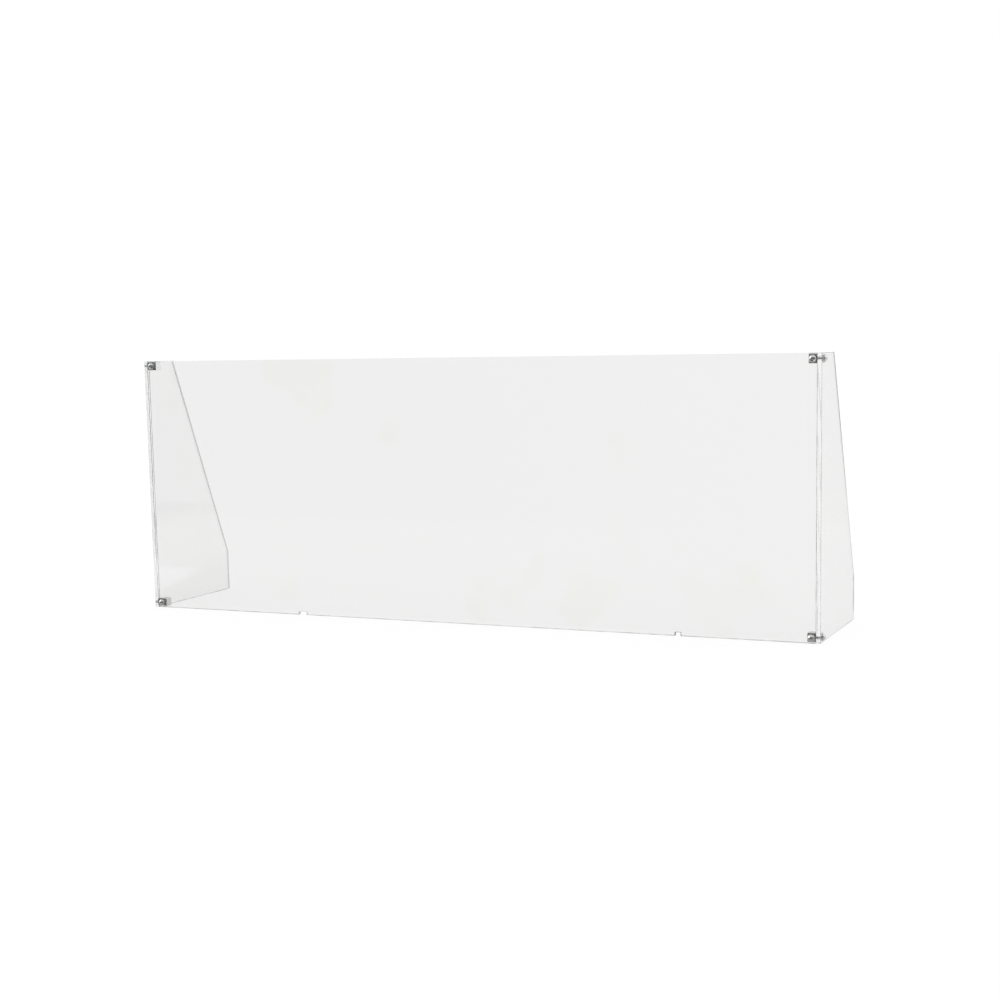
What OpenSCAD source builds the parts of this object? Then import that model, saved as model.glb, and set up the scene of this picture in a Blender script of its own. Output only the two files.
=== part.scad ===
// Countertop sneeze guard: an upright clear front sheet between two clear wings.
// A metal corner block in each of the four inner corners holds front sheet and wing square.
// Each block takes one domed screw through the front sheet and one through the wing.
//
// +X runs along the front sheet, +Y from the customer towards the server, +Z up.
// The origin is on the counter, under the middle of the whole guard.
// Left and right are as a customer sees them from the front.

/* [Front sheet] */
// Width of the front sheet, which stands between the wings
front_w = 1041; // [600:1:1600]
// Height of the front sheet and of both wings
guard_h = 381; // [250:1:600]

/* [Wings] */
// Depth of a wing along the counter
wing_depth = 203; // [130:1:350]
// Depth of a wing along its top edge
wing_top_depth = 70; // [40:1:120]
// Height of the upright heel at the foot of a wing's back edge
wing_heel_h = 64; // [30:1:150]

/* [Clear sheet] */
// Thickness of the clear sheet
sheet_t = 6; // [4:0.5:12]
// Chamfer along every edge of a sheet
sheet_chamfer = 0.4; // [0.2:0.1:0.8]

/* [Bottom notches] */
// Distance from the left end of the front sheet to the middle of the left notch
left_notch_inset = 260; // [60:1:280]
// Width of the left notch
left_notch_w = 12.5; // [6:0.5:30]
// Distance from the right end of the front sheet to the middle of the right notch
right_notch_inset = 191; // [60:1:280]
// Width of the right notch
right_notch_w = 8; // [4:0.5:30]
// Height of both notches
notch_h = 5; // [2:0.5:15]

/* [Corner blocks] */
// Side of the cube-shaped corner block
block_side = 12.7; // [10.5:0.1:20]
// Chamfer along every edge of a block
block_chamfer = 0.6; // [0.2:0.1:1.5]
// Gap between a block and the nearest top or bottom edge of the sheets
block_inset = 1; // [0.5:0.5:20]

/* [Screws] */
// Outer diameter of the screw thread
screw_d = 5; // [3:0.5:6]
// Diameter of the domed screw head
head_d = 9.5; // [7:0.5:12]
// Height of the domed screw head
head_h = 2.75; // [2:0.05:4]
// Height of the straight rim under the dome
head_rim_h = 0.4; // [0.2:0.1:0.8]
// Size across the flats of the hexagon socket
socket_flats = 3; // [2:0.5:3.5]
// Depth of the hexagon socket
socket_depth = 1.6; // [0.8:0.1:1.8]

/* [Washers] */
// Thickness of the clear washer under each head
washer_t = 0.8; // [0.4:0.1:1.5]
// How far a washer stands out beyond the head
washer_rim = 0.25; // [0.1:0.05:0.5]

/* [Hidden] */
// Diametral clearance of the screw in the sheets and the washers
screw_clearance = 0.5;
// Diametral clearance between the screw and the tapped hole
thread_clearance = 0.1;
// Metal left between the two tapped holes of a block, which do not meet
tapped_hole_wall = 0.3;
// Gap between the screw's tip and the end of the tapped hole
tip_gap = 0.3;
// Chamfer at the screw's tip and at the mouth of a tapped hole
thread_chamfer = 0.5;
// Width of the flat land round the socket
land_w = 0.35;
// Overlap of a cutter past the face that it cuts
cut = 0.5;
// Segments round a bore, a screw or a washer
round_fn = 48;

tapped_r = (screw_d + thread_clearance) / 2;
tapped_depth = block_side / 2 - tapped_r - tapped_hole_wall;
thread_grip = tapped_depth - tip_gap;
screw_l = washer_t + sheet_t + thread_grip;
head_stand = washer_t + head_h;
clear_hole_d = screw_d + screw_clearance;
washer_d = head_d + 2 * washer_rim;

// Sphere of the dome: it runs from the top of the rim to the flat land round the socket
socket_d = socket_flats / cos(30);
land_r = socket_d / 2 + land_w;
dome_centre = (pow(land_r, 2) - pow(head_d / 2, 2) + pow(head_h, 2) - pow(head_rim_h, 2))
    / (2 * (head_h - head_rim_h));
dome_r = norm([head_d / 2, head_rim_h - dome_centre]);

// The whole guard is centred on the origin, screw heads included
front_y = (head_stand - wing_depth) / 2;
inner_y = front_y + sheet_t;
half_front = front_w / 2;

// Heights and reach of the screws from the counter and from the middle
low_z = block_inset + block_side / 2;
high_z = guard_h - low_z;
front_screw_x = half_front - block_side / 2;
wing_screw_y = inner_y + block_side / 2;

wing_outline = [
    [0, 0], [wing_depth, 0], [wing_depth, wing_heel_h],
    [wing_top_depth, guard_h], [0, guard_h]
];

LEFT = -1;
RIGHT = 1;

// Places a piece that is drawn along +Z so that its +Z points out of the front sheet
module out_of_front(side, z) {
    translate([side * front_screw_x, front_y, z]) rotate([90, 0, 0]) children();
}

// Places a piece that is drawn along +Z so that its +Z points out of a wing
module out_of_wing(side, z) {
    translate([side * (half_front + sheet_t), wing_screw_y, z]) rotate([0, side * 90, 0]) children();
}

// Flat convex sheet with the given outline and a 45 degree chamfer on every edge of both faces
module chamfered_sheet(outline) {
    hull() {
        linear_extrude(sheet_t) offset(delta = -sheet_chamfer) polygon(outline);
        translate([0, 0, sheet_chamfer]) linear_extrude(sheet_t - 2 * sheet_chamfer) polygon(outline);
    }
}

// Clearance hole for a screw, drawn down from the outer face of a sheet
module clear_hole() {
    translate([0, 0, -sheet_t - cut]) cylinder(d = clear_hole_d, h = sheet_t + 2 * cut, $fn = round_fn);
}

module bottom_notch(x, width) {
    translate([x - width / 2, front_y - cut, -cut]) cube([width, sheet_t + 2 * cut, notch_h + cut]);
}

module front_panel() {
    color([0.93, 0.94, 0.94, 0.35]) difference() {
        translate([-half_front, inner_y, 0]) rotate([90, 0, 0])
            chamfered_sheet([[0, 0], [front_w, 0], [front_w, guard_h], [0, guard_h]]);
        for (side = [LEFT, RIGHT], z = [low_z, high_z]) out_of_front(side, z) clear_hole();
        bottom_notch(left_notch_inset - half_front, left_notch_w);
        bottom_notch(half_front - right_notch_inset, right_notch_w);
    }
}

module wing(side) {
    inner_x = side * half_front;
    color([0.93, 0.94, 0.94, 0.35]) difference() {
        translate([side == RIGHT ? inner_x : inner_x - sheet_t, front_y, 0])
            rotate([90, 0, 90]) chamfered_sheet(wing_outline);
        for (z = [low_z, high_z]) out_of_wing(side, z) clear_hole();
    }
}

// Square with its four corners cut off, centred on the origin
module cut_square(side, c) {
    h = side / 2;
    polygon([
        [c - h, -h], [h - c, -h], [h, c - h], [h, h - c],
        [h - c, h], [c - h, h], [-h, h - c], [-h, c - h]
    ]);
}

// Cube with every edge chamfered, centred on the origin
module chamfered_cube(side, c) {
    intersection() {
        linear_extrude(side, center = true) cut_square(side, c);
        rotate([90, 0, 0]) linear_extrude(side, center = true) cut_square(side, c);
        rotate([0, 90, 0]) linear_extrude(side, center = true) cut_square(side, c);
    }
}

// Blind tapped hole with a chamfered mouth, drawn down from the outer face of a sheet
module tapped_hole() {
    translate([0, 0, -sheet_t]) {
        translate([0, 0, -tapped_depth]) cylinder(r = tapped_r, h = tapped_depth + cut, $fn = round_fn);
        translate([0, 0, -thread_chamfer])
            cylinder(r1 = tapped_r, r2 = tapped_r + thread_chamfer + cut, h = thread_chamfer + cut,
                     $fn = round_fn);
    }
}

module corner_block(side, z) {
    color([0.78, 0.79, 0.80]) difference() {
        translate([side * front_screw_x, wing_screw_y, z]) chamfered_cube(block_side, block_chamfer);
        out_of_front(side, z) tapped_hole();
        out_of_wing(side, z) tapped_hole();
    }
}

// Domed head socket screw, drawn with the sheet's outer face at z = 0
module domed_screw() {
    color([0.70, 0.71, 0.73]) difference() {
        union() {
            translate([0, 0, washer_t]) intersection() {
                cylinder(d = head_d, h = head_h, $fn = round_fn);
                translate([0, 0, dome_centre]) sphere(r = dome_r, $fn = 2 * round_fn);
            }
            translate([0, 0, washer_t - screw_l + thread_chamfer])
                cylinder(d = screw_d, h = screw_l - thread_chamfer + head_rim_h, $fn = round_fn);
            translate([0, 0, washer_t - screw_l])
                cylinder(d1 = screw_d - 2 * thread_chamfer, d2 = screw_d, h = thread_chamfer,
                         $fn = round_fn);
        }
        translate([0, 0, head_stand - socket_depth])
            cylinder(d = socket_d, h = socket_depth + cut, $fn = 6);
    }
}

// Clear washer between a screw head and the sheet
module screw_washer() {
    color([0.90, 0.90, 0.88, 0.6]) difference() {
        cylinder(d = washer_d, h = washer_t, $fn = round_fn);
        translate([0, 0, -cut]) cylinder(d = clear_hole_d, h = washer_t + 2 * cut, $fn = round_fn);
    }
}

front_panel();
wing(LEFT);  // left_wing
wing(RIGHT);  // right_wing

corner_block(LEFT, high_z);  // block_top_left
corner_block(RIGHT, high_z);  // block_top_right
corner_block(LEFT, low_z);  // block_bottom_left
corner_block(RIGHT, low_z);  // block_bottom_right

out_of_front(LEFT, high_z) domed_screw();  // front_screw_top_left
out_of_front(RIGHT, high_z) domed_screw();  // front_screw_top_right
out_of_front(LEFT, low_z) domed_screw();  // front_screw_bottom_left
out_of_front(RIGHT, low_z) domed_screw();  // front_screw_bottom_right

out_of_wing(LEFT, high_z) domed_screw();  // wing_screw_top_left
out_of_wing(RIGHT, high_z) domed_screw();  // wing_screw_top_right
out_of_wing(LEFT, low_z) domed_screw();  // wing_screw_bottom_left
out_of_wing(RIGHT, low_z) domed_screw();  // wing_screw_bottom_right

out_of_front(LEFT, high_z) screw_washer();  // front_washer_top_left
out_of_front(RIGHT, high_z) screw_washer();  // front_washer_top_right
out_of_front(LEFT, low_z) screw_washer();  // front_washer_bottom_left
out_of_front(RIGHT, low_z) screw_washer();  // front_washer_bottom_right

out_of_wing(LEFT, high_z) screw_washer();  // wing_washer_top_left
out_of_wing(RIGHT, high_z) screw_washer();  // wing_washer_top_right
out_of_wing(LEFT, low_z) screw_washer();  // wing_washer_bottom_left
out_of_wing(RIGHT, low_z) screw_washer();  // wing_washer_bottom_right
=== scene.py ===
"""Looks of a countertop sneeze guard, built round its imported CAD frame.

Each clear sheet is an outline carried round an edge section, each corner block is a rounded cube
with two tapped holes, and the screws and washers are turned profiles. Places and outer sizes come
from the boxes of the CAD nodes. Lengths are metres, written as millimetres times MM.
"""

import logging
import math
from dataclasses import dataclass, field
from enum import Enum
from typing import Any, Callable

import bmesh
import bpy
import numpy as np
from mathutils import Matrix, Vector
from mathutils.geometry import delaunay_2d_cdt


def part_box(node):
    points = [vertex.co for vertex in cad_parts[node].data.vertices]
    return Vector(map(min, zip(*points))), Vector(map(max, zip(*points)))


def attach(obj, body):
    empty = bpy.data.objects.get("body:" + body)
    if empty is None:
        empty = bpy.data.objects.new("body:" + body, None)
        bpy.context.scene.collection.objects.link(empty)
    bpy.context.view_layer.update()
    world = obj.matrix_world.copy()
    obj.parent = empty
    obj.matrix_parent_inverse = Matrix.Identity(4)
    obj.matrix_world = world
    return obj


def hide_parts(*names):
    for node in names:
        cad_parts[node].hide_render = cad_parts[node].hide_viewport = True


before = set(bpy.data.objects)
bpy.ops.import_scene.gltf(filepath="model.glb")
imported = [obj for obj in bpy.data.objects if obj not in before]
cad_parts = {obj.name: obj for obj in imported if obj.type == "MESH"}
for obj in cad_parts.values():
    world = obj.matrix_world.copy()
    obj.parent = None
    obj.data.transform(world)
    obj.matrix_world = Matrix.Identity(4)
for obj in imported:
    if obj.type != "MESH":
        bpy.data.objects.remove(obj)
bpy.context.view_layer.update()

LOG = logging.getLogger("sneeze_guard")
MM = 0.001
ROOT = "root"
EDGE_MASK = "edge_mask"
# Air left where two pieces bear on each other, so that light meets two faces and not one
AIR_GAP = 0.03 * MM
# Width of the flat strip that keeps the shading of a large face flat beside a rounded edge
SUPPORT = 0.15 * MM
# Points closer than this are one point
WELD = 0.0005 * MM
# Kind of triangulation that keeps only what is inside the outlines
INSIDE = 1
# Light bends and mirrors many times on its way along inside a clear sheet
LIGHT_BOUNCES = 40
# Glossy depths within this reach of this middle are 1 and 2, those of a ray mirrored once or twice
MIRRORED_DEPTH = 1.5
MIRRORED_REACH = 0.9
# Numbers of the Mix node's colour sockets, whose names its other kinds of value share
MIX_SHARE, MIX_FIRST, MIX_SECOND, MIX_RESULT = 0, 6, 7, 2

Colour = tuple[float, float, float, float]
Socket = bpy.types.NodeSocket


class Side(Enum):
    """End of the guard, as a customer sees it from the front."""

    LEFT = "left"
    RIGHT = "right"


class Level(Enum):
    """Height of a corner joint."""

    TOP = "top"
    BOTTOM = "bottom"


class Facing(Enum):
    """Direction in which a face, a tapped hole or a screw head looks."""

    FRONT = (0.0, -1.0, 0.0)
    BACK = (0.0, 1.0, 0.0)
    LEFT = (-1.0, 0.0, 0.0)
    RIGHT = (1.0, 0.0, 0.0)
    TOP = (0.0, 0.0, 1.0)
    BOTTOM = (0.0, 0.0, -1.0)

    @property
    def axes(self) -> np.ndarray:
        """Rows of the local frame: across, up and outward, right-handed.

        Returns:
            The three directions, one in each row.
        """
        outward = np.array(self.value)
        up = np.array([0.0, 1.0, 0.0] if outward[2] else [0.0, 0.0, 1.0])
        return np.stack([np.cross(up, outward), up, outward])

    def place(self, local: np.ndarray, origin: np.ndarray) -> np.ndarray:
        """Turns local (across, up, outward) points to this direction and moves them to origin."""
        return origin + local @ self.axes

    def measure(self, points: np.ndarray, origin: np.ndarray) -> np.ndarray:
        """Gives the local (across, up, outward) coordinates of points seen from origin."""
        return (points - origin) @ self.axes.T


WING_FACING = {Side.LEFT: Facing.LEFT, Side.RIGHT: Facing.RIGHT}


def node_box(node: str) -> np.ndarray:
    """Lowest and highest corner of a CAD node, as two rows."""
    return np.array([tuple(corner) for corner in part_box(node)])


def node_middle(node: str) -> np.ndarray:
    """Middle of a CAD node's box."""
    return node_box(node).mean(axis=0)


def outward_span(node: str, facing: Facing, origin: np.ndarray) -> np.ndarray:
    """Lowest and highest outward coordinate of a CAD node, seen from origin."""
    return np.sort(facing.measure(node_box(node), origin)[:, 2])


def linked(name: str, data: bpy.types.ID) -> bpy.types.Object:
    """Makes an object of the data and links it to the scene at the origin.

    Args:
        name: Name of the object.
        data: Its mesh or camera.

    Returns:
        The object.
    """
    made = bpy.data.objects.new(name, data)
    bpy.context.scene.collection.objects.link(made)
    return made


class PieceMesh:
    """Blocks of vertices and faces that become one closed mesh with an edge mask."""

    def __init__(self) -> None:
        """Starts with no vertices and no faces."""
        self.points: list[np.ndarray] = []
        self.masks: list[np.ndarray] = []
        self.faces: list[list[int]] = []
        self.count = 0

    def add_points(self, points: np.ndarray, mask: np.ndarray | float) -> np.ndarray:
        """Adds points of any layout.

        Args:
            points: Coordinates, with x, y and z along the last axis.
            mask: Edge mask, broadcast to the layout: 1 on a worked edge, 0 on a face.

        Returns:
            The number of each vertex, in the layout of the points.
        """
        layout = points.shape[:-1]
        numbers = self.count + np.arange(math.prod(layout)).reshape(layout)
        self.points.append(points.reshape(-1, 3))
        self.masks.append(np.broadcast_to(mask, layout).ravel())
        self.count += numbers.size
        return numbers

    def add_band(self, grid: np.ndarray, mask: np.ndarray | float, ring: bool = False) -> np.ndarray:
        """Adds a grid of points whose last column joins its first, with quads between neighbours.

        Args:
            grid: Points in rows and columns.
            mask: Edge mask, broadcast to rows and columns.
            ring: True if the last row joins the first too, as round a washer.

        Returns:
            The number of each vertex, in rows and columns.
        """
        numbers = self.add_points(grid, mask)
        rows = np.concatenate([numbers, numbers[:1]]) if ring else numbers
        beside = np.roll(rows, -1, axis=1)
        quads = np.stack([rows[:-1], rows[1:], beside[1:], beside[:-1]], axis=-1)
        self.faces += quads.reshape(-1, 4).tolist()
        return numbers

    def to_object(self, name: str) -> bpy.types.Object:
        """Welds the blocks, turns the faces outwards and links the object at the origin.

        Args:
            name: Name of the new object.

        Returns:
            The smooth-shaded object.
        """
        mesh = bpy.data.meshes.new(name)
        mesh.from_pydata(np.concatenate(self.points).tolist(), [], self.faces)
        layer = mesh.attributes.new(EDGE_MASK, "FLOAT", "POINT")
        layer.data.foreach_set("value", np.concatenate(self.masks).astype(np.float32))
        work = bmesh.new()
        work.from_mesh(mesh)
        bmesh.ops.remove_doubles(work, verts=work.verts, dist=WELD)
        if work.calc_volume(signed=True) < 0.0:
            bmesh.ops.reverse_faces(work, faces=work.faces)
        work.to_mesh(mesh)
        work.free()
        mesh.shade_smooth()
        return linked(name, mesh)


def unit(vectors: np.ndarray) -> np.ndarray:
    """Scales each vector along the last axis to length 1."""
    return vectors / np.linalg.norm(vectors, axis=-1, keepdims=True)


def round_angles(steps: int) -> np.ndarray:
    """Evenly spaced angles of one turn, without the last, which is the first again."""
    return np.linspace(0.0, math.tau, steps, endpoint=False)


def anticlockwise(outline: np.ndarray) -> np.ndarray:
    """Reverses an outline whose signed area, half the sum of its cross products, is negative.

    Args:
        outline: Points in order.

    Returns:
        The outline itself, or the same points in the other order.
    """
    after = np.roll(outline, -1, axis=0)
    area = np.sum(outline[:, 0] * after[:, 1] - outline[:, 1] * after[:, 0])
    return outline if area > 0.0 else outline[::-1]


def clockwise_circle(centre: np.ndarray, radius: float, steps: int) -> np.ndarray:
    """Circle of evenly spaced points that keeps the material round it on its left."""
    angle = -round_angles(steps)
    return centre + radius * np.stack([np.cos(angle), np.sin(angle)], axis=1)


def rounded(corners: np.ndarray, radius: np.ndarray | float, steps: int) -> np.ndarray:
    """Rounds every corner of a polygon.

    With a and b the unit vectors from a corner along its two sides and h half the angle between
    them, the arc's centre is radius / sin h from the corner along a + b, and it touches the sides
    radius / tan h from the corner. Its points turn evenly from one touching point to the other.

    Args:
        corners: Corner points in order.
        radius: Radius of the arc, one for all or one for each corner.
        steps: Number of points on each arc.

    Returns:
        The outline's points, one arc after another.
    """
    radii = np.broadcast_to(radius, len(corners))[:, None]
    back = unit(np.roll(corners, 1, axis=0) - corners)
    ahead = unit(np.roll(corners, -1, axis=0) - corners)
    half = 0.5 * np.arccos(np.sum(back * ahead, axis=1))[:, None]
    centre = corners + unit(back + ahead) * radii / np.sin(half)
    start = corners + back * radii / np.tan(half) - centre
    stop = corners + ahead * radii / np.tan(half) - centre
    turn = math.pi - 2.0 * half
    share = np.linspace(0.0, 1.0, steps)[None, :]
    first = (np.sin((1.0 - share) * turn) / np.sin(turn))[..., None]
    last = (np.sin(share * turn) / np.sin(turn))[..., None]
    points = centre[:, None] + first * start[:, None] + last * stop[:, None]
    return points.reshape(-1, 2)


def inset(outline: np.ndarray, distance: np.ndarray) -> np.ndarray:
    """Moves an outline into the material by several distances.

    The material is on the left of the outline's direction. A point moves along the sum n of the
    left normals of its two sides, by 2 n / |n|^2, which keeps each side parallel to itself.

    Args:
        outline: Closed outline, anticlockwise round material and clockwise round a hole.
        distance: How far each copy moves.

    Returns:
        One row of points for each distance.
    """
    ahead = unit(np.roll(outline, -1, axis=0) - outline)
    both = ahead + np.roll(ahead, 1, axis=0)
    normal = np.stack([-both[:, 1], both[:, 0]], axis=1)
    shift = 2.0 * normal / np.sum(normal**2, axis=1, keepdims=True)
    return outline[None] + distance[:, None, None] * shift[None]


def edge_section(thickness: float, arris: float, steps: int) -> np.ndarray:
    """Section of a sheet's edge with both arrises rounded.

    Each arris is a quarter circle: at angle t it is arris (1 - sin t) in from the edge and
    arris (1 - cos t) below the face. A narrow flat strip follows it on either side.

    Args:
        thickness: Thickness of the sheet.
        arris: Radius of the rounded arris.
        steps: Points on each quarter circle.

    Returns:
        Rows of inset and depth, from the outer face round to the inner face.
    """
    angle = np.linspace(0.0, math.pi / 2.0, steps)
    quarter = arris * np.stack([1.0 - np.sin(angle), 1.0 - np.cos(angle)], axis=1)
    outer = np.concatenate([[[arris + SUPPORT, 0.0]], quarter, [[0.0, arris + SUPPORT]]])
    inner = outer[::-1] * [1.0, -1.0] + [0.0, thickness]
    return np.concatenate([outer, inner])


def fill_between(outlines: list[np.ndarray]) -> np.ndarray:
    """Triangulates the flat area inside the first outline and outside the others.

    A triangle whose three corners are on one round hole lies inside that hole, and is dropped.

    Args:
        outlines: Closed outlines; their points are numbered one outline after another.

    Returns:
        Rows of three point numbers, anticlockwise.
    """
    owner = np.repeat(np.arange(len(outlines)), [len(outline) for outline in outlines])
    numbers = [np.flatnonzero(owner == index) for index in range(len(outlines))]
    sides = np.concatenate([np.stack([ring, np.roll(ring, -1)], axis=1) for ring in numbers])
    points = [Vector(point) for point in np.concatenate(outlines).tolist()]
    filled = delaunay_2d_cdt(points, sides.tolist(), [], INSIDE, WELD)
    source = np.array([origins[0] for origins in filled[3]])
    triangles = source[np.array(filled[2])]
    owners = owner[triangles]
    in_hole = (owners[:, 0] > 0) & np.all(owners == owners[:, :1], axis=1)
    return triangles[~in_hole]


def arc(centre: tuple[float, float], radius: float, start: float, stop: float, steps: int) -> np.ndarray:
    """Points of an arc in a turned profile.

    A point at angle t is the centre plus radius times (sin t, cos t), so t is measured from the
    axis: at 0 the arc's face looks outwards along the axis, a quarter turn later away from it.

    Args:
        centre: Distance from the axis and height of the arc's centre.
        radius: Radius of the arc.
        start: First angle in radians.
        stop: Last angle in radians.
        steps: Number of points.

    Returns:
        Rows of distance from the axis and height.
    """
    angle = np.linspace(start, stop, steps)
    return np.array(centre) + radius * np.stack([np.sin(angle), np.cos(angle)], axis=1)


def turned(radius: np.ndarray, height: np.ndarray, angle: np.ndarray) -> np.ndarray:
    """Grid of a turned shape, whose point at angle t is (radius cos t, radius sin t, height).

    Args:
        radius: Distance from the axis, in rows of heights and columns of angles.
        height: Height of each row.
        angle: Angle of each column.

    Returns:
        Points in rows and columns.
    """
    levels = np.broadcast_to(height[:, None], radius.shape)
    return np.stack([radius * np.cos(angle), radius * np.sin(angle), levels], axis=-1)


@dataclass(frozen=True)
class Thread:
    """Right-hand metric thread with softened crests and roots, drawn round the outward axis."""

    crest: float = 2.46 * MM
    depth: float = 0.40 * MM
    pitch: float = 0.8 * MM
    rows_per_turn: int = 10
    flat: float = 0.2

    def radius(
        self, angle: np.ndarray, height: np.ndarray, cut: np.ndarray | float = 1.0
    ) -> np.ndarray:
        """Distance of the thread's surface from its axis.

        The phase height / pitch - angle / turn stays the same along one tooth. A tooth rises and
        falls with the phase in a smooth step that keeps a flat crest and a flat root.

        Args:
            angle: Angle of each column.
            height: Height of each row, from the inner face of the sheet that the screw holds.
            cut: Share of the full depth, which fades to 0 where the thread runs out.

        Returns:
            Radii in rows of heights and columns of angles.
        """
        phase = np.mod(height[:, None] / self.pitch - angle[None, :] / math.tau, 1.0)
        rise = (np.abs(2.0 * phase - 1.0) - self.flat) / (1.0 - 2.0 * self.flat)
        rise = np.clip(rise, 0.0, 1.0)
        tooth = rise**2 * (3.0 - 2.0 * rise)
        return self.crest - self.depth * (1.0 - tooth * np.reshape(cut, (-1, 1)))

    def heights(self, start: float, stop: float) -> np.ndarray:
        """Heights of the rows that draw the thread between two heights."""
        rows = 1 + round(abs(stop - start) / self.pitch * self.rows_per_turn)
        return np.linspace(start, stop, rows)


class Wiring:
    """Adds nodes to a node tree and links them as it goes."""

    def __init__(self, tree: bpy.types.NodeTree) -> None:
        """Empties the tree that it is given."""
        self.tree = tree
        tree.nodes.clear()

    def add(self, kind: str, inputs: dict[Any, Any] | None = None, **settings: Any) -> bpy.types.Node:
        """Adds a node.

        Args:
            kind: Type name of the node.
            inputs: Its inputs by name or number: a socket is linked, and a value is set.
            settings: Properties of the node.

        Returns:
            The new node.
        """
        node = self.tree.nodes.new(kind)
        for name, value in settings.items():
            setattr(node, name, value)
        for key, value in (inputs or {}).items():
            if isinstance(value, Socket):
                self.tree.links.new(value, node.inputs[key])
            else:
                node.inputs[key].default_value = value
        return node

    def math(self, operation: str, *values: Any) -> Socket:
        """Result of a Math node."""
        return self.add("ShaderNodeMath", dict(enumerate(values)), operation=operation).outputs[0]

    def weighted(self, start: Any, *terms: tuple[Socket, float]) -> Socket:
        """Start plus each term's mask times its weight.

        Args:
            start: Number or socket to start from.
            terms: Each mask with its weight.

        Returns:
            The sum.
        """
        for mask, weight in terms:
            start = self.math("MULTIPLY_ADD", mask, weight, start)
        return start

    def step(self, value: Any, low: Any, high: Any) -> Socket:
        """Smooth step that is 0 below low and 1 above high.

        Args:
            value: What is compared.
            low: Where the step starts.
            high: Where it ends.

        Returns:
            The step.
        """
        inputs = {"Value": value, "From Min": low, "From Max": high}
        node = self.add("ShaderNodeMapRange", inputs, interpolation_type="SMOOTHSTEP")
        return node.outputs["Result"]

    def blend(self, share: Any, first: Any, second: Any) -> Socket:
        """Colour that is first at share 0 and second at share 1."""
        inputs = {MIX_SHARE: share, MIX_FIRST: first, MIX_SECOND: second}
        return self.add("ShaderNodeMix", inputs, data_type="RGBA").outputs[MIX_RESULT]

    def mix(self, share: Any, first: bpy.types.Node, second: bpy.types.Node) -> bpy.types.Node:
        """Shader that is first at share 0 and second at share 1."""
        inputs = {0: share, 1: first.outputs[0], 2: second.outputs[0]}
        return self.add("ShaderNodeMixShader", inputs)

    def parts(self, vector: Any) -> tuple[Socket, ...]:
        """The x, y and z of a vector."""
        return tuple(self.add("ShaderNodeSeparateXYZ", {0: vector}).outputs)

    def bump(self, height: Any, strength: float, distance: float) -> Socket:
        """Normal of a surface that height raises by up to distance."""
        inputs = {"Height": height, "Strength": strength, "Distance": distance}
        return self.add("ShaderNodeBump", inputs).outputs["Normal"]

    def noise(self, where: Any, scale: Any, detail: float = 2.0) -> Socket:
        """Value of a noise texture, with scale in waves a metre."""
        inputs = {"Vector": where, "Scale": scale, "Detail": detail}
        return self.add("ShaderNodeTexNoise", inputs).outputs["Fac"]

    def use(self, tree: bpy.types.NodeTree, **inputs: Any) -> Socket:
        """Mask of a shared effect placed in this tree."""
        return self.add("ShaderNodeGroup", inputs, node_tree=tree).outputs["Mask"]


def shared_effect(
    name: str, numbers: tuple[str, ...], fill: Callable[..., Socket]
) -> bpy.types.NodeTree:
    """Builds an effect that several finishes use, once, as a node group.

    Args:
        name: Name of the group.
        numbers: Names of its number inputs, after its Vector input.
        fill: Takes the wiring and one socket for each input, and returns the mask.

    Returns:
        The group, whose output is Mask.
    """
    made = bpy.data.node_groups.get(name)
    if made:
        return made
    tree = bpy.data.node_groups.new(name, "ShaderNodeTree")
    wiring = Wiring(tree)
    tree.interface.new_socket("Vector", in_out="INPUT", socket_type="NodeSocketVector")
    for label in numbers:
        tree.interface.new_socket(label, in_out="INPUT", socket_type="NodeSocketFloat")
    tree.interface.new_socket("Mask", in_out="OUTPUT", socket_type="NodeSocketFloat")
    entry = wiring.add("NodeGroupInput")
    mask = fill(wiring, *(entry.outputs[label] for label in ("Vector", *numbers)))
    wiring.add("NodeGroupOutput", {"Mask": mask})
    return tree


def handling_marks() -> bpy.types.NodeTree:
    """Soft-edged patches left by hands and cloths: noise above a threshold.

    Returns:
        The group, with its Scale and Threshold.
    """
    softness = 0.08

    def fill(wiring: Wiring, where: Socket, scale: Socket, threshold: Socket) -> Socket:
        """Steps the noise up over the threshold."""
        patches = wiring.noise(where, scale, detail=3.0)
        return wiring.step(patches, threshold, wiring.math("ADD", threshold, softness))

    return shared_effect("handling_marks", ("Scale", "Threshold"), fill)


def wipe_lines() -> bpy.types.NodeTree:
    """Hairlines from wiping: the thin contour where a slow noise passes its middle value.

    Returns:
        The group, with its Scale and Width.
    """
    middle = 0.5
    patch_scale = 0.7
    patch_edge = (0.5, 0.6)

    def fill(wiring: Wiring, where: Socket, scale: Socket, width: Socket) -> Socket:
        """Keeps the contour, and only in patches.

        Args:
            wiring: Adds the nodes.
            where: Object coordinates.
            scale: Waves a metre.
            width: Reach of a line either side of the middle.

        Returns:
            The mask of the lines.
        """
        level = wiring.noise(where, scale, detail=1.0)
        away = wiring.math("ABSOLUTE", wiring.math("SUBTRACT", level, middle))
        line = wiring.math("SUBTRACT", 1.0, wiring.step(away, 0.0, width))
        patches = wiring.noise(where, wiring.math("MULTIPLY", scale, patch_scale))
        return wiring.math("MULTIPLY", line, wiring.step(patches, *patch_edge))

    return shared_effect("wipe_lines", ("Scale", "Width"), fill)


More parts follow.
